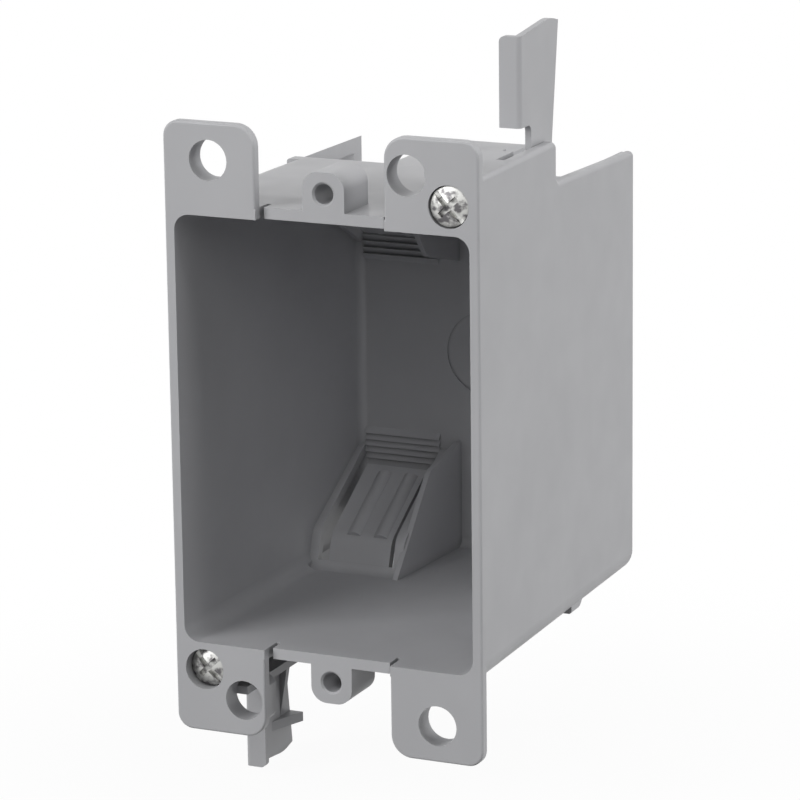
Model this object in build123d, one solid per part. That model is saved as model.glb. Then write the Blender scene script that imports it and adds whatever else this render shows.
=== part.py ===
from build123d import *
import os
from math import asin, cos, radians, sin, tan

# Single-gang box for mounting in a finished wall: a moulded body with four ears, and two swing
# clamps, each on its own long screw.
# Millimetres. X right, Y into the wall, Z up. The origin lies midway between the two holes for the
# device screws, on the plane of the short rims that carry them.

# Box body
BODY_WIDTH = 56.6
BODY_HEIGHT = 77.5
BODY_DEPTH = 69.85
SIDE_DRAFT = 0.89
END_DRAFT = 0.5
SIDE_WALL = 1.7
END_WALL = 1.9
BACK_WALL = 2.0
CORNER_RADIUS = 4.3
GUARD_CORNER_RADIUS = 1.0
CAVITY_SIDE_DRAFT = 1.3
CAVITY_CORNER_RADIUS = 2.7
CAVITY_FLOOR_RADIUS = 1.6
RIM_ROUNDING = 0.4

# Ears that lie on the wall
EAR_STEP = 1.65
EAR_THICKNESS = 1.65
EAR_HEIGHT = 13.75
EAR_WIDTH = 16.7
EAR_OUTER_RADIUS = 2.7
EAR_INNER_RADIUS = 3.7
FIXING_HOLE = 6.9
FIXING_HOLE_HEIGHT = 7.45
PLAIN_EAR_HOLE_INSET = 8.2
CLAMP_EAR_HOLE_INSET = 12.7
COLLAR_DIAMETER = 9.6
COLLAR_DEPTH = 2.45
RELIEF_SLOT_WIDTH = 0.8
RELIEF_SLOT_DEPTH = 3.0

# Bosses for the device screws
DEVICE_SCREW_SPACING = 83.34
BOSS_WIDTH = 7.5
BOSS_OVERHANG = 3.65
BOSS_DEPTH = 9.2
BOSS_RADIUS = 2.8
DEVICE_HOLE = 3.4
DEVICE_HOLE_CHAMFER = 0.33

# Guards, the rails behind them, and the guide plates that steer the clamps
GUARD_HEIGHT = 7.85
GUARD_THICKNESS = 2.32
GUARD_REAR = 32.4
GUARD_ROUNDING = 0.85
GUARD_REAR_RADIUS = 1.2
GUARD_FOOT_RADIUS = 1.5
RAIL_HEIGHT = 0.85
RAIL_FALL = 1.25
GUIDE_THICKNESS = 1.4
GUIDE_WIDTH = 8.98
GUIDE_REAR = 23.0
GUIDE_SLOT_FRONT = 14.2
GUIDE_MOUTH_WIDTH = 2.0
GUIDE_MOUTH_DEPTH = 1.5
SEAT_THICKNESS = 2.0

# Clamp screws
CLAMP_SCREW_INSET = 3.03
CLAMP_SCREW_HEIGHT = 2.85
SCREW_DIAMETER = 3.5
SCREW_LENGTH = 38.0
SCREW_TIP_LENGTH = 1.6
SCREW_TIP_DIAMETER = 1.2
HEAD_DIAMETER = 6.7
HEAD_HEIGHT = 1.9
HEAD_DOME = 0.75
SLOT_WIDTH = 0.9
SLOT_DEPTH = 0.8
CROSS_WIDTH = 1.0
CROSS_REACH = 4.2
CROSS_DEPTH = 1.1
DRIVE_ANGLE = 45.0
HEAD_CLEARANCE = 0.2
SHANK_CLEARANCE = 0.55
RECESS_DEPTH = 3.4
UPPER_SCREW_PROUD = 0.3
LOWER_SCREW_SUNK = 1.2

# Swing clamps
UPPER_CLAMP_FACE = 21.5
LOWER_CLAMP_FACE = 18.7
CLAMP_CLEARANCE = 0.2
THREAD_CLEARANCE = 0.05
HUB_RADIUS = 2.85
HUB_BRIDGE = 1.7
ARM_THICKNESS = 1.1
ARM_FRONT_REACH = 24.05
ARM_PEAK_REACH = 25.36
ARM_REAR_REACH = 24.52
ARM_PEAK_DEPTH = 12.65
ARM_PEAK_RADIUS = 10.0
ARM_ROOT_DEPTH = 12.75
ARM_TIP_DEPTH = 16.2
NECK_SETBACK = 4.5
NECK_FILLET = 1.2
FLANGE_WIDTH = 3.8
FLANGE_THICKNESS = 1.3
FLANGE_BOTTOM = 8.8
FLANGE_CORNER = 1.0
PLATE_CORNER = 0.8
TAB_HEIGHT = 19.3
TAB_THICKNESS = 1.7
TAB_REACH = 2.6
TAB_LENGTH = 7.3
WEB_THICKNESS = 1.2
WEB_START = 6.4
WEB_REACH = 1.9

# Cable entries in the rear corners. Depths are from the face of the back wall, heights from the
# face of the end wall.
ENTRY_FOOT_DEPTH = 25.2
ENTRY_OPENING_DEPTH = 23.3
ENTRY_BEND_DEPTH = 21.2
ENTRY_KNEE_DEPTH = 19.0
ENTRY_KNEE_HEIGHT = 5.85
ENTRY_BEND_RADIUS = 2.7
ENTRY_SLOPE = 30.4
ENTRY_THICKNESS = 1.7
SLOT_HEIGHT = 1.65
REAR_OPENING_HEIGHT = 4.85
CHEEK_RISE = 0.5
OUTER_CHEEK_WIDTH = 2.7
OUTER_SLOT = 2.1
INNER_SLOT = 0.8
INNER_CHEEK_WIDTH = 1.9
TONGUE_GAP = 3.85
RIB_GAP = 5.4
RIB_DIAMETER = 3.1
RIB_SPACING = 5.2
RIB_OFFSET = 0.9
GUSSET_FOOT_X = 7.3
GUSSET_FOOT_DEPTH = 23.9
GUSSET_THICKNESS = 1.0
GUSSET_TURN = 5.26
GUSSET_BEND_DEPTH = 11.3
GUSSET_BEND_HEIGHT = 17.35
GUSSET_BEND_RADIUS = 3.0
GUSSET_BACK_HEIGHT = 20.55
TOOTH_START_HEIGHT = 15.55
TOOTH_COUNT = 5
TOOTH_PITCH = 1.15
TOOTH_HEIGHT = 0.7

# Round dimple in the middle of the back wall
DIMPLE_RADIUS = 7.7
DIMPLE_DEPTH = 0.4

# Sizes that follow from the ones above
REACH = 4 * BODY_WIDTH
FRONT = -EAR_STEP
REAR = FRONT + BODY_DEPTH
EAR_MIDDLE = FRONT + EAR_THICKNESS / 2
EAR_BACK = FRONT + EAR_THICKNESS
HALF_WIDTH = BODY_WIDTH / 2
HALF_HEIGHT = BODY_HEIGHT / 2
EAR_TOP = HALF_HEIGHT + EAR_HEIGHT
EAR_INNER_EDGE = HALF_WIDTH - EAR_WIDTH
FIXING_HOLE_Z = HALF_HEIGHT + FIXING_HOLE_HEIGHT
PLAIN_EAR_HOLE_X = HALF_WIDTH - PLAIN_EAR_HOLE_INSET
CLAMP_EAR_HOLE_X = HALF_WIDTH - CLAMP_EAR_HOLE_INSET
COLLAR_REAR = EAR_BACK + COLLAR_DEPTH
GUARD_TOP = HALF_HEIGHT + GUARD_HEIGHT
GUARD_INNER = HALF_WIDTH - GUARD_THICKNESS
RAIL_TOP = HALF_HEIGHT + RAIL_HEIGHT
CLAMP_SCREW_X = GUARD_INNER - CLAMP_SCREW_INSET
CLAMP_SCREW_Z = HALF_HEIGHT + CLAMP_SCREW_HEIGHT
CAVITY_BACK = REAR - BACK_WALL
BACK_MIDDLE = REAR - BACK_WALL / 2
CAVITY_HALF_WIDTH = HALF_WIDTH - SIDE_WALL
CAVITY_HALF_HEIGHT = HALF_HEIGHT - END_WALL
RECESS_EDGE = CAVITY_HALF_WIDTH - BODY_DEPTH * tan(radians(CAVITY_SIDE_DRAFT))
ENTRY_FOOT = CAVITY_BACK - ENTRY_FOOT_DEPTH
ENTRY_KNEE = CAVITY_BACK - ENTRY_KNEE_DEPTH
GUSSET_FOOT = CAVITY_BACK - GUSSET_FOOT_DEPTH
OUTER_CHEEK_EDGE = CAVITY_HALF_WIDTH - OUTER_CHEEK_WIDTH
INNER_CHEEK_EDGE = GUSSET_FOOT_X + INNER_CHEEK_WIDTH
TONGUE_OUTER_EDGE = OUTER_CHEEK_EDGE - OUTER_SLOT
TONGUE_INNER_EDGE = INNER_CHEEK_EDGE + INNER_SLOT
DEVICE_HOLE_Z = DEVICE_SCREW_SPACING / 2
BOSS_TOP = DEVICE_HOLE_Z + BOSS_OVERHANG
HEAD_RECESS = HEAD_DIAMETER + 2 * HEAD_CLEARANCE
SHANK_HOLE = SCREW_DIAMETER + 2 * SHANK_CLEARANCE
SEAT_FACE = FRONT + RECESS_DEPTH
SEAT_REAR = SEAT_FACE + SEAT_THICKNESS
ARM_OUTER = GUARD_INNER - CLAMP_CLEARANCE
ARM_INNER = ARM_OUTER - ARM_THICKNESS
GUIDE_SLOT_EDGE = ARM_INNER - CLAMP_CLEARANCE


def plane_at(y):
    """Upright plane facing the viewer, with local x to the right and local y up."""
    return Plane(origin=(0, y, 0), x_dir=(1, 0, 0), z_dir=(0, -1, 0))


def side_plane_at(x):
    """Upright plane facing right, with local x into the wall and local y up."""
    return Plane(origin=(x, 0, 0), x_dir=(0, 1, 0), z_dir=(1, 0, 0))


def block(x_range, y_range, z_range):
    """Box between two limits along each axis."""
    size = [high - low for low, high in (x_range, y_range, z_range)]
    middle = [(high + low) / 2 for low, high in (x_range, y_range, z_range)]
    return Pos(*middle) * Box(*size)


def rod(x, z, radius, y_front, y_rear):
    """Cylinder along Y."""
    disc = plane_at(y_front) * Pos(x, z) * Circle(radius)
    return extrude(disc, -(y_rear - y_front))


def profile_plate(points, x_low, x_high, roundings=()):
    """Plate between two X positions, its outline given as Y, Z points, some of them rounded."""
    outline = make_face(Polyline(*points, close=True))
    for point, radius in roundings:
        corner = outline.vertices().sort_by_distance(point)[0]
        outline = fillet(corner, radius)
    return extrude(side_plane_at(x_low) * outline, x_high - x_low)


def drafted(half_width, half_height, plain_radius, guard_radius, side_draft, y_front, y_rear):
    """Rounded rectangular prism along Y that narrows by the draft angles towards the rear."""
    outline = []
    profile = []
    for side, y in ((-1, y_front), (1, y_front), (1, y_rear), (-1, y_rear)):
        outline.append((side * (half_width - (y - FRONT) * tan(radians(side_draft))), y))
        profile.append((y, side * (half_height - (y - FRONT) * tan(radians(END_DRAFT)))))
    face = Plane.XY.offset(-half_height) * make_face(Polyline(*outline, close=True))
    prism = extrude(face, 2 * half_height) & profile_plate(profile, -half_width, half_width)
    for side, radius in ((-1, plain_radius), (1, guard_radius)):
        edges = [edge for edge in prism.edges() if edge.bounding_box().size.Y > (y_rear - y_front) / 2]
        prism = fillet([edge for edge in edges if side * edge.center().X * edge.center().Z > 0], radius)
    return prism


def bent_strip(points, x_low, x_high):
    """Strip between two X positions along a centreline given as Y, Z points."""
    centreline = FilletPolyline(*points, radius=ENTRY_BEND_RADIUS)
    return extrude(side_plane_at(x_low) * trace(centreline, ENTRY_THICKNESS), x_high - x_low)


def four_ways(piece):
    """The piece and its mirror images in the two planes of symmetry."""
    pair = piece + mirror(piece, Plane.YZ)
    return pair + mirror(pair, Plane.XY)


def half_turn(piece):
    """The same piece turned half way round the Y axis."""
    return Rot(0, 180, 0) * piece


def ear():
    """Upper right ear, without the hole for a wall screw."""
    low = HALF_HEIGHT - CORNER_RADIUS
    plate = block((EAR_INNER_EDGE, HALF_WIDTH), (FRONT, EAR_BACK), (low, EAR_TOP))
    upright = plate.edges().filter_by(Axis.Y).group_by(Axis.Z)[-1].sort_by(Axis.X)
    plate = fillet(upright[0], EAR_INNER_RADIUS)
    upright = plate.edges().filter_by(Axis.Y).group_by(Axis.Z)[-1].sort_by(Axis.X)
    return fillet(upright[-1], EAR_OUTER_RADIUS)


def collar(x):
    """Collar on the back of an upper ear, around the place of its hole."""
    ring = rod(x, FIXING_HOLE_Z, COLLAR_DIAMETER / 2, EAR_MIDDLE, COLLAR_REAR)
    return ring - block((-EAR_INNER_EDGE, EAR_INNER_EDGE), (FRONT, COLLAR_REAR), (0, EAR_TOP))


def device_boss():
    """Upper boss for a device screw, without its hole."""
    low = HALF_HEIGHT - END_WALL / 2
    boss = block((-BOSS_WIDTH / 2, BOSS_WIDTH / 2), (0, BOSS_DEPTH), (low, BOSS_TOP))
    upper = boss.edges().filter_by(Axis.Y).group_by(Axis.Z)[-1]
    return fillet(upper, BOSS_RADIUS)


def device_hole():
    """Upper hole for a device screw, with its chamfer."""
    rims = []
    for y, radius in ((0, DEVICE_HOLE / 2 + DEVICE_HOLE_CHAMFER), (DEVICE_HOLE_CHAMFER, DEVICE_HOLE / 2)):
        rims.append(plane_at(y) * Pos(0, DEVICE_HOLE_Z) * Circle(radius))
    return loft(rims) + rod(0, DEVICE_HOLE_Z, DEVICE_HOLE / 2, 0, BOSS_DEPTH)


def guard():
    """Upper right guard: the side wall carried up past the end wall, and the rail behind it."""
    low = HALF_HEIGHT / 2
    points = [
        (EAR_MIDDLE, low),
        (EAR_MIDDLE, GUARD_TOP),
        (GUARD_REAR, GUARD_TOP),
        (GUARD_REAR, RAIL_TOP),
        (REAR, RAIL_TOP - RAIL_FALL),
        (REAR, low),
    ]
    roundings = [(points[2], GUARD_REAR_RADIUS), (points[3], GUARD_FOOT_RADIUS)]
    wall = profile_plate(points, GUARD_INNER, HALF_WIDTH, roundings)
    radius = GUARD_CORNER_RADIUS
    wall &= drafted(HALF_WIDTH, 2 * GUARD_TOP, radius, radius, SIDE_DRAFT, FRONT, REAR)
    crest = wall.edges().group_by(Axis.Z)[-1].sort_by(Axis.X)[-1]
    return fillet(crest, GUARD_ROUNDING)


def clamp_guide():
    """Upper right guide plate with its slot, and the seat for the clamp screw's head."""
    joined = (GUARD_INNER + HALF_WIDTH - GUARD_ROUNDING) / 2
    low = GUARD_TOP - GUIDE_THICKNESS
    inner_edge = GUARD_INNER - GUIDE_WIDTH
    plate = block((inner_edge, joined), (EAR_MIDDLE, GUIDE_REAR), (low, GUARD_TOP))
    slot = block((GUIDE_SLOT_EDGE, GUARD_INNER), (GUIDE_SLOT_FRONT, REAR), (0, REACH))
    mouth_edge = GUIDE_SLOT_EDGE - GUIDE_MOUTH_WIDTH
    slot += block((mouth_edge, GUARD_INNER), (GUIDE_REAR - GUIDE_MOUTH_DEPTH, REAR), (0, REACH))
    seat_edge = CLAMP_EAR_HOLE_X + FIXING_HOLE / 2
    wall = HALF_HEIGHT - END_WALL / 2
    seat = block((seat_edge, joined), (EAR_MIDDLE, SEAT_REAR), (wall, GUARD_TOP))
    return plate - slot + seat


def cable_entry_cut():
    """Lower left opening to the outside, through the bottom wall and the back wall."""
    width = (-RECESS_EDGE, -GUSSET_FOOT_X - GUSSET_THICKNESS / 2)
    front = CAVITY_BACK - ENTRY_OPENING_DEPTH
    below = block(width, (front, REACH), (-REACH, END_WALL - CAVITY_HALF_HEIGHT))
    top = REAR_OPENING_HEIGHT - CAVITY_HALF_HEIGHT
    behind = block(width, (CAVITY_BACK - CAVITY_FLOOR_RADIUS, REACH), (-REACH, top))
    return below + behind


def turned_at_gusset(piece):
    """A piece made with the gusset's foot at X 0, Y 0, put in place and turned with it."""
    return Pos(-GUSSET_FOOT_X, GUSSET_FOOT, 0) * Rot(0, 0, -GUSSET_TURN) * piece


def gusset():
    """Lower left gusset that bounds the cable entry."""
    wall = END_WALL / 2 - HALF_HEIGHT
    depth = (BACK_MIDDLE - GUSSET_FOOT) / cos(radians(GUSSET_TURN))
    bend = (GUSSET_FOOT_DEPTH - GUSSET_BEND_DEPTH, GUSSET_BEND_HEIGHT - CAVITY_HALF_HEIGHT)
    top = GUSSET_BACK_HEIGHT - CAVITY_HALF_HEIGHT
    points = [(0, wall), (0, -CAVITY_HALF_HEIGHT), bend, (depth, top), (depth, wall)]
    return turned_at_gusset(profile_plate(points, -GUSSET_THICKNESS, 0, [(bend, GUSSET_BEND_RADIUS)]))


def tongue_line(rise, depth):
    """Y, Z points of a cable entry's centreline, raised past the bend, up to the given depth."""
    wall = END_WALL / 2 - HALF_HEIGHT + (ENTRY_FOOT - FRONT) * tan(radians(END_DRAFT))
    bend = CAVITY_BACK - ENTRY_BEND_DEPTH
    knee = ENTRY_KNEE_HEIGHT + rise - CAVITY_HALF_HEIGHT
    end = knee + (depth - ENTRY_KNEE) * tan(radians(ENTRY_SLOPE))
    return [(ENTRY_FOOT, wall), (bend, wall), (ENTRY_KNEE, knee), (depth, end)]


def sill_line():
    """Y, Z points of the bend that runs over the full width, up to where the slots start."""
    foot, bend, knee, _ = tongue_line(CHEEK_RISE, BACK_MIDDLE)
    top = SLOT_HEIGHT - CAVITY_HALF_HEIGHT
    share = (top - bend[1]) / (knee[1] - bend[1])
    return [foot, bend, (bend[0] + share * (knee[0] - bend[0]), top)]


def cable_entry():
    """Lower left cable entry: gusset, two cheeks, sprung tongue between them, and teeth."""
    cheek_line = tongue_line(CHEEK_RISE, BACK_MIDDLE)
    outer_cheek = bent_strip(cheek_line, -CAVITY_HALF_WIDTH, -OUTER_CHEEK_EDGE)
    inner_cheek = bent_strip(cheek_line, -INNER_CHEEK_EDGE, 0)
    sill = bent_strip(sill_line(), -CAVITY_HALF_WIDTH, 0)
    limit = block((-REACH, -GUSSET_THICKNESS / 2), (-REACH, REACH), (-REACH, REACH))
    entry = gusset() + outer_cheek + ((inner_cheek + sill) & turned_at_gusset(limit))

    line = tongue_line(0, CAVITY_BACK - TONGUE_GAP)
    entry += bent_strip(line, -TONGUE_OUTER_EDGE, -TONGUE_INNER_EDGE)
    slope = radians(ENTRY_SLOPE)
    rib_length = (ENTRY_KNEE_DEPTH - RIB_GAP) / cos(slope)
    middle = RIB_OFFSET - (TONGUE_OUTER_EDGE + TONGUE_INNER_EDGE) / 2
    for x in (middle - RIB_SPACING / 2, middle + RIB_SPACING / 2):
        knee = (x, ENTRY_KNEE, ENTRY_KNEE_HEIGHT - CAVITY_HALF_HEIGHT)
        start = Plane(origin=knee, z_dir=(0, cos(slope), sin(slope)))
        entry += extrude(start * Circle(RIB_DIAMETER / 2), rib_length)

    for index in range(TOOTH_COUNT):
        z = index * TOOTH_PITCH + TOOTH_START_HEIGHT - CAVITY_HALF_HEIGHT
        tooth_points = [
            (BACK_MIDDLE, z),
            (CAVITY_BACK - TOOTH_HEIGHT, z),
            (CAVITY_BACK, z + TOOTH_PITCH),
            (BACK_MIDDLE, z + TOOTH_PITCH),
        ]
        entry += profile_plate(tooth_points, -OUTER_CHEEK_EDGE, -INNER_CHEEK_EDGE)
    return entry


def box_body():
    """The one-piece moulded body."""
    radii = (CORNER_RADIUS, GUARD_CORNER_RADIUS)
    frame = block((-HALF_WIDTH, HALF_WIDTH), (FRONT, EAR_BACK), (-HALF_HEIGHT, HALF_HEIGHT))
    frame += four_ways(ear())
    front_face = frame.faces().sort_by(Axis.Y)[0]
    solid = fillet(front_face.edges(), RIM_ROUNDING)
    solid += drafted(HALF_WIDTH, HALF_HEIGHT, *radii, SIDE_DRAFT, EAR_MIDDLE, REAR)
    pieces = [device_boss(), guard() + clamp_guide()]
    pieces += [collar(-PLAIN_EAR_HOLE_X), collar(CLAMP_EAR_HOLE_X)]
    for piece in pieces:
        solid += piece
        solid += half_turn(piece)

    sides = (CAVITY_HALF_WIDTH, CAVITY_HALF_HEIGHT, CAVITY_CORNER_RADIUS, CAVITY_CORNER_RADIUS)
    cavity = drafted(*sides, CAVITY_SIDE_DRAFT, FRONT, CAVITY_BACK)
    rear_face = cavity.faces().sort_by(Axis.Y)[-1]
    cavity = fillet(rear_face.edges(), CAVITY_FLOOR_RADIUS)
    cuts = [cavity, block((-EAR_INNER_EDGE, EAR_INNER_EDGE), (FRONT, 0), (-REACH, REACH))]
    slot_edge = EAR_INNER_EDGE - RELIEF_SLOT_WIDTH
    wall = (CAVITY_HALF_HEIGHT - END_WALL, HALF_HEIGHT)
    cuts += four_ways(block((slot_edge, EAR_INNER_EDGE), (0, RELIEF_SLOT_DEPTH), wall)).solids()
    cuts += four_ways(cable_entry_cut()).solids()
    cuts += [device_hole(), half_turn(device_hole())]
    for side in (-1, 1):
        for x in (-PLAIN_EAR_HOLE_X, CLAMP_EAR_HOLE_X):
            hole = rod(side * x, side * FIXING_HOLE_Z, FIXING_HOLE / 2, FRONT, COLLAR_REAR)
            cuts.append(hole)
        x = side * CLAMP_SCREW_X
        z = side * CLAMP_SCREW_Z
        cuts.append(rod(x, z, HEAD_RECESS / 2, FRONT, SEAT_FACE))
        cuts.append(rod(x, z, SHANK_HOLE / 2, FRONT, SEAT_REAR))
    for cut in cuts:
        solid -= cut

    inside_edge = CAVITY_HALF_WIDTH + SIDE_WALL / 2
    inside = drafted(inside_edge, HALF_HEIGHT, *radii, SIDE_DRAFT, FRONT, REAR)
    for piece in four_ways(cable_entry() & inside).solids():
        solid += piece
    return solid - rod(0, 0, DIMPLE_RADIUS, CAVITY_BACK, CAVITY_BACK + DIMPLE_DEPTH)


def clamp_plate(face, neck, root_rear, tip_rear):
    """Arm of a clamp and the flange across its front, with the outer front corner rounded."""
    flange_bottom = CLAMP_SCREW_Z + FLANGE_BOTTOM
    front_top = CLAMP_SCREW_Z + ARM_FRONT_REACH
    neck_corner = (neck, flange_bottom)
    peak = (face + ARM_PEAK_DEPTH, CLAMP_SCREW_Z + ARM_PEAK_REACH)
    points = [
        (neck, CLAMP_SCREW_Z),
        neck_corner,
        (face, flange_bottom),
        (face, front_top),
        peak,
        (tip_rear, CLAMP_SCREW_Z + ARM_REAR_REACH),
        (root_rear, CLAMP_SCREW_Z),
    ]
    roundings = [(neck_corner, NECK_FILLET), (peak, ARM_PEAK_RADIUS)]
    arm = profile_plate(points, ARM_INNER, ARM_OUTER, roundings)
    width = (ARM_OUTER - FLANGE_WIDTH, ARM_OUTER)
    flange = block(width, (face, face + FLANGE_THICKNESS), (flange_bottom, front_top))
    corner = flange.edges().filter_by(Axis.Y).group_by(Axis.Z)[-1].sort_by(Axis.X)[0]
    plate = arm + fillet(corner, FLANGE_CORNER)
    outer_front = (ARM_OUTER, face, (flange_bottom + front_top) / 2)
    upright = plate.edges().filter_by(Axis.Z).sort_by_distance(outer_front)[0]
    return fillet(upright, PLATE_CORNER)


def clamp(face):
    """Upper right swing clamp with the front of its flange at the given depth."""
    neck = face + NECK_SETBACK
    root_rear = face + ARM_ROOT_DEPTH
    tip_rear = face + ARM_TIP_DEPTH
    plate = clamp_plate(face, neck, root_rear, tip_rear)

    tab_low = CLAMP_SCREW_Z + TAB_HEIGHT - TAB_THICKNESS / 2
    tab_rise = (tab_low - CLAMP_SCREW_Z) / ARM_REAR_REACH
    tab_rear = root_rear + tab_rise * (tip_rear - root_rear)
    tab_front = tab_rear - TAB_LENGTH
    tab_edge = (ARM_INNER - TAB_REACH, tab_rear)
    tab_corners = [(ARM_OUTER, tab_rear), tab_edge, (ARM_INNER, tab_front), (ARM_OUTER, tab_front)]
    tab_outline = make_face(Polyline(*tab_corners, close=True))
    tab = extrude(Plane.XY.offset(tab_low) * tab_outline, TAB_THICKNESS)

    web_low = CLAMP_SCREW_Z + WEB_START
    web_edge = ARM_INNER - WEB_REACH
    web_corners = [(ARM_INNER, web_low), (web_edge, web_low), (ARM_INNER, tab_low)]
    web = extrude(plane_at(root_rear) * make_face(Polyline(*web_corners, close=True)), WEB_THICKNESS)
    web_root = (root_rear - WEB_THICKNESS, root_rear)
    web += block((web_edge, ARM_OUTER), web_root, (CLAMP_SCREW_Z, web_low))

    hub = rod(CLAMP_SCREW_X, CLAMP_SCREW_Z, HUB_RADIUS, neck, root_rear)
    bridge_height = (CLAMP_SCREW_Z, CLAMP_SCREW_Z + HUB_BRIDGE)
    bridge = block((CLAMP_SCREW_X, ARM_OUTER), (neck, root_rear), bridge_height)
    bore_radius = SCREW_DIAMETER / 2 + THREAD_CLEARANCE
    bore = rod(CLAMP_SCREW_X, CLAMP_SCREW_Z, bore_radius, neck, root_rear)
    return plate + tab + web + hub + bridge - bore


def clamp_screw(head_front):
    """Upper right clamp screw with the crown of its head at the given depth."""
    under = head_front + HEAD_HEIGHT
    tip = under + SCREW_LENGTH
    radius = HEAD_DIAMETER / 2
    shank = SCREW_DIAMETER / 2
    edge = head_front + HEAD_DOME
    dome_radius = (radius**2 + HEAD_DOME**2) / (2 * HEAD_DOME)
    half_angle = asin(radius / dome_radius) / 2
    middle = (dome_radius * sin(half_angle), head_front + dome_radius * (1 - cos(half_angle)))
    crown = ThreePointArc((radius, edge), middle, (0, head_front))
    side = Polyline(
        (0, head_front),
        (0, tip),
        (SCREW_TIP_DIAMETER / 2, tip),
        (shank, tip - SCREW_TIP_LENGTH),
        (shank, under),
        (radius, under),
        (radius, edge),
    )
    half = Plane(origin=(CLAMP_SCREW_X, 0, CLAMP_SCREW_Z)) * make_face([crown, side])
    screw = revolve(half, Axis((CLAMP_SCREW_X, 0, CLAMP_SCREW_Z), (0, 1, 0)))
    drive = Box(2 * HEAD_DIAMETER, 2 * SLOT_DEPTH, SLOT_WIDTH)
    drive += Box(CROSS_REACH, 2 * CROSS_DEPTH, CROSS_WIDTH)
    drive += Box(CROSS_WIDTH, 2 * CROSS_DEPTH, CROSS_REACH)
    return screw - Pos(CLAMP_SCREW_X, head_front, CLAMP_SCREW_Z) * Rot(0, DRIVE_ANGLE, 0) * drive


nodes = {
    "box": box_body(),
    "upper_clamp": clamp(UPPER_CLAMP_FACE),
    "lower_clamp": half_turn(clamp(LOWER_CLAMP_FACE)),
    "upper_screw": clamp_screw(FRONT - UPPER_SCREW_PROUD),
    "lower_screw": half_turn(clamp_screw(FRONT + LOWER_SCREW_SUNK)),
}

os.makedirs("parts", exist_ok=True)
for name, piece in nodes.items():
    export_step(piece, f"parts/{name}.step")
    print(name, len(piece.solids()), round(piece.volume, 1), piece.bounding_box().size)
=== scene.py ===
import bpy
from math import pi, radians
from mathutils import Matrix, Vector


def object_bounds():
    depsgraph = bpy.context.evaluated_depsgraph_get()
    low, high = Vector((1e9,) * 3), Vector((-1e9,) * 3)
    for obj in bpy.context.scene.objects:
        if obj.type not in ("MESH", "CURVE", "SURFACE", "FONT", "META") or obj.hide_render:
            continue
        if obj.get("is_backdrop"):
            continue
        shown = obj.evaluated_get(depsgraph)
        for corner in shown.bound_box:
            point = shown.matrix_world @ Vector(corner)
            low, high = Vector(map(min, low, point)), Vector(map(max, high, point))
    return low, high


# A moulded back box for a finished wall, in the row frame, in metres.
# X right, Y into the wall, Z up, with the origin midway between the two device-screw holes.
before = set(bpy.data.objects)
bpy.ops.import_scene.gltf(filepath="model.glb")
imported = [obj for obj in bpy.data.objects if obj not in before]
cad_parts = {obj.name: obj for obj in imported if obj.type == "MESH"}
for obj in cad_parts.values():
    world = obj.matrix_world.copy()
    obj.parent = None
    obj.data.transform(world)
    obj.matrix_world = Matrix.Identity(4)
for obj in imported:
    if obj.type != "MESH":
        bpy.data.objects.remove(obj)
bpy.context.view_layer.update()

MM = 0.001

# Camera of the photograph: where it stands, where it looks and how it is framed
CAMERA_PLACE = Vector((295.5, -614.0, 180.8)) * MM
CAMERA_YAW = radians(24.336)
CAMERA_PITCH = radians(-14.591)
CAMERA_ROLL = radians(0.635)
CAMERA_LENS = 192.288
CAMERA_SENSOR = 36.0
CAMERA_SHIFT = (-0.03182, 0.02624)
CAMERA_CLIP = (0.01, 10)

# Moulded plastic. Colours are linear, and noise scales are waves in a metre.
PLASTIC_LIGHT = (0.502, 0.504, 0.520, 1)
PLASTIC_DARK = (0.478, 0.480, 0.496, 1)
PLASTIC_ROUGHNESS = (0.36, 0.48)
PLASTIC_INDEX = 1.5
PLASTIC_SPECULAR = 0.42
FLOW_SCALE = 45
FLOW_DETAIL = 3
FLOW_SPAN = (0.36, 0.64)
RIPPLE_SCALE = 160
RIPPLE_DETAIL = 3
RIPPLE_STRENGTH = 0.16
RIPPLE_DEPTH = 0.2 * MM
GRAIN_SCALE = 5200
GRAIN_DETAIL = 2
GRAIN_STRENGTH = 0.10
GRAIN_DEPTH = 0.03 * MM
# Painted shade: the plastic's colour darkens in corners and crevices that little open sky reaches
CORNER_REACH = 2.2 * MM
CORNER_OPENNESS = (0.0, 0.9)
PAINTED_CORNER_SHADE = (0.5, 1.0)

# Zinc plating, with painted reflection: dark patches in its colour
ZINC_LIGHT = (0.50, 0.50, 0.485, 1)
ZINC_PAINTED_REFLECTION = (0.13, 0.125, 0.13, 1)
ZINC_ROUGHNESS = (0.40, 0.54)
PATCH_SCALE = 700
PATCH_DETAIL = 4
REFLECTION_PATCH_SPAN = (0.40, 0.54)
DENT_STRENGTH = 0.35
DENT_DEPTH = 0.08 * MM
FLECK_SCALE = 2600
FLECK_DETAIL = 3

# Clamp screws: axis of the upper one, rear of each head, and the thread
SCREW_AXIS = (22.95 * MM, 41.6 * MM)
UPPER_HEAD_REAR = -0.05 * MM
LOWER_HEAD_REAR = 1.45 * MM
THREAD_PITCH = 0.8 * MM
THREAD_DEPTH = 0.8 * MM
THREAD_STRENGTH = 1.0

# Range that most of a noise lies in
NOISE_SPAN = (0.3, 0.7)

# Background and floor
WHITE = (1, 1, 1, 1)
FLOOR_COLOUR = (0.86, 0.86, 0.86, 1)
FLOOR_BOUNCE = (0.10, 0.10, 0.10, 1)
FLOOR_HALF_SIZE = 1.2
FLOOR_GAP = 0.3 * MM
FLOOR_FADE = (0.03, 0.14)
FLOOR_WHITENESS = (0.95, 1.0)

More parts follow.
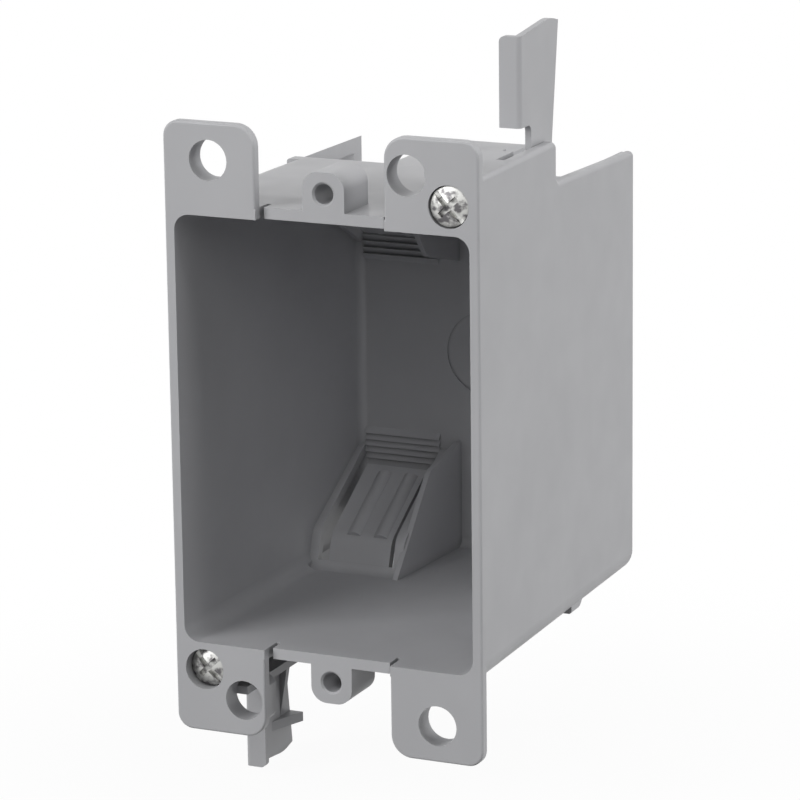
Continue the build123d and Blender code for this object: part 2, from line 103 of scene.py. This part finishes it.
# Light: strength of the sky at its lowest and highest, the heights that it changes between, and for
# each lamp its place, the point that it faces, its edge and its power
SKY_HEIGHTS = (-0.25, 0.55)
SKY_STRENGTHS = (0.02, 0.10)
OPENING = Vector((0, 0, 0))
BODY = Vector((0, 30 * MM, 0))
FRONT_LAMP_SIZE = 0.55
WIDE_LAMP_SIZE = 0.6
KEY_PLACE = Vector((0.35, -0.75, 0.55))
KEY_POWER = 1.6
LEFT_PLACE = Vector((-0.55, -0.75, 0.35))
LEFT_POWER = 6.7
SIDE_PLACE = Vector((0.80, 0.14, 0.42))
SIDE_POWER = 4.9
TOP_PLACE = Vector((0.05, 0.10, 0.85))
TOP_POWER = 1.1
NEUTRAL = (1, 1, 1)
WARM = (1.0, 0.985, 0.975)


class Nodes:
    """A shader tree with short calls to add and join its nodes."""

    def __init__(self, tree):
        self.tree = tree
        self.tree.nodes.clear()

    def add(self, kind, **values):
        node = self.tree.nodes.new("ShaderNode" + kind)
        for name, value in values.items():
            if name in node.inputs:
                node.inputs[name].default_value = value
            else:
                setattr(node, name, value)
        return node

    def join(self, source, output, target, entry):
        self.tree.links.new(source.outputs[output], target.inputs[entry])

    def noise(self, place, scale, detail):
        node = self.add("TexNoise", Scale=scale, Detail=detail)
        self.join(place, "Object", node, "Vector")
        return node

    def math(self, operation, *terms):
        """One operation on terms that are plain numbers or pairs of a node and its output."""
        node = self.add("Math", operation=operation)
        for entry, term in enumerate(terms):
            if isinstance(term, tuple):
                self.join(*term, node, entry)
            else:
                node.inputs[entry].default_value = term
        return node

    def remap(self, source, output, old_range, new_range, interpolation="LINEAR"):
        """The output moved from its old range to a new one, and held at the ends."""
        node = self.add("MapRange", interpolation_type=interpolation)
        entries = ("From Min", "From Max", "To Min", "To Max")
        for entry, value in zip(entries, old_range + new_range):
            node.inputs[entry].default_value = value
        self.join(source, output, node, "Value")
        return node

    def ramp(self, source, span, low_colour, high_colour):
        """A noise turned into a colour that runs from low to high over the span."""
        node = self.add("ValToRGB")
        stops = node.color_ramp.elements
        stops[0].position, stops[1].position = span
        stops[0].color, stops[1].color = low_colour, high_colour
        self.join(source, "Fac", node, "Fac")
        return node

    def bump(self, source, output, strength, depth):
        node = self.add("Bump", Strength=strength, Distance=depth)
        self.join(source, output, node, "Height")
        return node

    def end(self, kind, shader, output):
        self.join(shader, output, self.add(kind), "Surface")


def new_material(name):
    material = bpy.data.materials.new(name)
    material.use_nodes = True
    return material, Nodes(material.node_tree)


def moulded_plastic(name):
    """Grey moulded plastic: faint flow marks, a fine matt grain, a soft gloss and painted shade that
    darkens the corners.
    """
    material, nodes = new_material(name)
    place = nodes.add("TexCoord")
    flow = nodes.noise(place, FLOW_SCALE, FLOW_DETAIL)
    grain = nodes.noise(place, GRAIN_SCALE, GRAIN_DETAIL)
    ripple = nodes.noise(place, RIPPLE_SCALE, RIPPLE_DETAIL)
    colour = nodes.ramp(flow, FLOW_SPAN, PLASTIC_DARK, PLASTIC_LIGHT)
    # Painted shade: the colour is scaled down where corners and crevices close in
    corners = nodes.add("AmbientOcclusion", Distance=CORNER_REACH)
    painted_shade = nodes.remap(corners, "AO", CORNER_OPENNESS, PAINTED_CORNER_SHADE)
    painted_shade_colour = nodes.add("VectorMath", operation="SCALE")
    nodes.join(colour, "Color", painted_shade_colour, 0)
    nodes.join(painted_shade, "Result", painted_shade_colour, "Scale")
    gloss = nodes.remap(ripple, "Fac", NOISE_SPAN, PLASTIC_ROUGHNESS)
    fine = nodes.bump(grain, "Fac", GRAIN_STRENGTH, GRAIN_DEPTH)
    wave = nodes.bump(ripple, "Fac", RIPPLE_STRENGTH, RIPPLE_DEPTH)
    nodes.join(fine, "Normal", wave, "Normal")

    surface = nodes.add("BsdfPrincipled", IOR=PLASTIC_INDEX)
    surface.inputs["Specular IOR Level"].default_value = PLASTIC_SPECULAR
    nodes.join(painted_shade_colour, "Vector", surface, "Base Color")
    nodes.join(gloss, "Result", surface, "Roughness")
    nodes.join(wave, "Normal", surface, "Normal")
    nodes.end("OutputMaterial", surface, "BSDF")
    return material


def thread_height(nodes, place, axis_x, axis_z, head_rear):
    """Height of a thread round an axis along Y, and nothing in front of the head's rear."""
    parts = nodes.add("SeparateXYZ")
    nodes.join(place, "Object", parts, 0)
    across = nodes.math("ADD", (parts, "X"), -axis_x)
    upward = nodes.math("ADD", (parts, "Z"), -axis_z)
    angle = nodes.math("ARCTAN2", (upward, "Value"), (across, "Value"))
    turns = nodes.math("MULTIPLY", (angle, "Value"), -1 / (2 * pi))
    along = nodes.math("MULTIPLY", (parts, "Y"), 1 / THREAD_PITCH)
    phase = nodes.math("ADD", (along, "Value"), (turns, "Value"))
    ridge = nodes.math("PINGPONG", (phase, "Value"), 1 / 2)
    behind = nodes.math("GREATER_THAN", (parts, "Y"), head_rear)
    return nodes.math("MULTIPLY", (ridge, "Value"), (behind, "Value"))


def zinc_plate(name, axis_x, axis_z, head_rear):
    """Bright zinc plating with painted reflection in dark patches, and a thread round the shank
    behind the head.
    """
    material, nodes = new_material(name)
    place = nodes.add("TexCoord")
    patches = nodes.noise(place, PATCH_SCALE, PATCH_DETAIL)
    fleck = nodes.noise(place, FLECK_SCALE, FLECK_DETAIL)
    # Painted reflection: the dark patches in the colour stand in for dark surroundings mirrored in
    # the metal
    colour = nodes.ramp(patches, REFLECTION_PATCH_SPAN, ZINC_PAINTED_REFLECTION, ZINC_LIGHT)
    gloss = nodes.remap(fleck, "Fac", NOISE_SPAN, ZINC_ROUGHNESS)
    dents = nodes.bump(patches, "Fac", DENT_STRENGTH, DENT_DEPTH)
    height = thread_height(nodes, place, axis_x, axis_z, head_rear)
    thread = nodes.bump(height, "Value", THREAD_STRENGTH, THREAD_DEPTH)
    nodes.join(dents, "Normal", thread, "Normal")

    surface = nodes.add("BsdfPrincipled", Metallic=1.0)
    nodes.join(colour, "Color", surface, "Base Color")
    nodes.join(gloss, "Result", surface, "Roughness")
    nodes.join(thread, "Normal", surface, "Normal")
    nodes.end("OutputMaterial", surface, "BSDF")
    return material


def seen_and_felt(nodes, seen, seen_output, felt, felt_output):
    """One shader for camera, glossy and see-through rays, and the other for the rest."""
    paths = nodes.add("LightPath")
    direct = nodes.math("MAXIMUM", (paths, "Is Camera Ray"), (paths, "Is Glossy Ray"))
    every = nodes.math("MAXIMUM", (direct, "Value"), (paths, "Is Transmission Ray"))
    mix = nodes.add("MixShader")
    nodes.join(every, "Value", mix, "Fac")
    nodes.join(felt, felt_output, mix, 1)
    nodes.join(seen, seen_output, mix, 2)
    return mix


def sky():
    """Soft light from above and all round, weak from below, seen as plain white."""
    world = bpy.data.worlds.new("sky")
    world.use_nodes = True
    nodes = Nodes(world.node_tree)
    place = nodes.add("TexCoord")
    height = nodes.add("SeparateXYZ")
    nodes.join(place, "Generated", height, 0)
    level = nodes.remap(height, "Z", SKY_HEIGHTS, SKY_STRENGTHS)
    light = nodes.add("Background", Color=WHITE)
    nodes.join(level, "Result", light, "Strength")
    seen = nodes.add("Background", Color=WHITE, Strength=1.0)
    mix = seen_and_felt(nodes, seen, "Background", light, "Background")
    nodes.end("OutputWorld", mix, "Shader")
    bpy.context.scene.world = world


def pale_floor(middle):
    """White with a little matt surface near the middle, and plain white further out."""
    material, nodes = new_material("pale_floor")
    place = nodes.add("TexCoord")
    away = nodes.add("VectorMath", operation="SUBTRACT")
    away.inputs[1].default_value = middle
    nodes.join(place, "Object", away, 0)
    reach = nodes.add("VectorMath", operation="LENGTH")
    nodes.join(away, "Vector", reach, 0)
    fade = nodes.remap(reach, "Value", FLOOR_FADE, FLOOR_WHITENESS, "SMOOTHSTEP")
    matt = nodes.add("BsdfDiffuse", Color=FLOOR_COLOUR)
    white = nodes.add("Emission", Color=WHITE, Strength=1.0)
    seen = nodes.add("MixShader")
    nodes.join(fade, "Result", seen, "Fac")
    nodes.join(matt, "BSDF", seen, 1)
    nodes.join(white, "Emission", seen, 2)
    dim = nodes.add("BsdfDiffuse", Color=FLOOR_BOUNCE)
    mix = seen_and_felt(nodes, seen, "Shader", dim, "BSDF")
    nodes.end("OutputMaterial", mix, "Shader")
    return material


def floor():
    """Pale floor under the part, which keeps the shadow close by."""
    low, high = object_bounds()
    height = low[2] - FLOOR_GAP
    mesh = bpy.data.meshes.new("floor")
    corners = []
    for x, y in ((-1, -1), (1, -1), (1, 1), (-1, 1)):
        corners.append((x * FLOOR_HALF_SIZE, y * FLOOR_HALF_SIZE, height))
    mesh.from_pydata(corners, [], [(0, 1, 2, 3)])
    mesh.materials.append(pale_floor((0, (low[1] + high[1]) / 2, low[2])))
    plane = bpy.data.objects.new("floor", mesh)
    bpy.context.collection.objects.link(plane)
    plane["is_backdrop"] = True


def softbox(name, place, aim, size, power, colour=NEUTRAL):
    """Square area lamp at a place, turned to its aim."""
    lamp = bpy.data.lights.new(name, "AREA")
    lamp.shape = "SQUARE"
    lamp.size = size
    lamp.energy = power
    lamp.color = colour
    holder = bpy.data.objects.new(name, lamp)
    holder.location = place
    holder.rotation_euler = (aim - place).to_track_quat("-Z", "Y").to_euler()
    bpy.context.collection.objects.link(holder)


def lights():
    """Two lamps in front of the opening, one at the right and one overhead."""
    softbox("key", KEY_PLACE, OPENING, FRONT_LAMP_SIZE, KEY_POWER)
    softbox("side", SIDE_PLACE, BODY, WIDE_LAMP_SIZE, SIDE_POWER)
    softbox("top", TOP_PLACE, BODY, WIDE_LAMP_SIZE, TOP_POWER, WARM)
    softbox("left", LEFT_PLACE, OPENING, FRONT_LAMP_SIZE, LEFT_POWER)


def camera():
    """Camera that shows the part as the photograph does."""
    lens = bpy.data.cameras.new("camera")
    lens.sensor_width = CAMERA_SENSOR
    lens.lens = CAMERA_LENS
    lens.shift_x, lens.shift_y = CAMERA_SHIFT
    lens.clip_start, lens.clip_end = CAMERA_CLIP
    eye = bpy.data.objects.new("camera", lens)
    turn = Matrix.Rotation(CAMERA_YAW, 4, "Z") @ Matrix.Rotation(CAMERA_PITCH, 4, "X")
    turn = turn @ Matrix.Rotation(CAMERA_ROLL, 4, "Y") @ Matrix.Rotation(radians(90), 4, "X")
    eye.matrix_world = Matrix.Translation(CAMERA_PLACE) @ turn
    bpy.context.collection.objects.link(eye)
    bpy.context.scene.camera = eye


def dress():
    """Materials for the five pieces."""
    clamp_grey = moulded_plastic("clamp_plastic")
    x, z = SCREW_AXIS
    finishes = {
        "box": moulded_plastic("box_plastic"),
        "upper_clamp": clamp_grey,
        "lower_clamp": clamp_grey,
        "upper_screw": zinc_plate("upper_zinc", x, z, UPPER_HEAD_REAR),
        "lower_screw": zinc_plate("lower_zinc", -x, -z, LOWER_HEAD_REAR),
    }
    for name, finish in finishes.items():
        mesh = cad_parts[name].data
        mesh.materials.clear()
        mesh.materials.append(finish)


dress()
sky()
floor()
lights()
camera()
bpy.context.scene.view_settings.view_transform = "Standard"
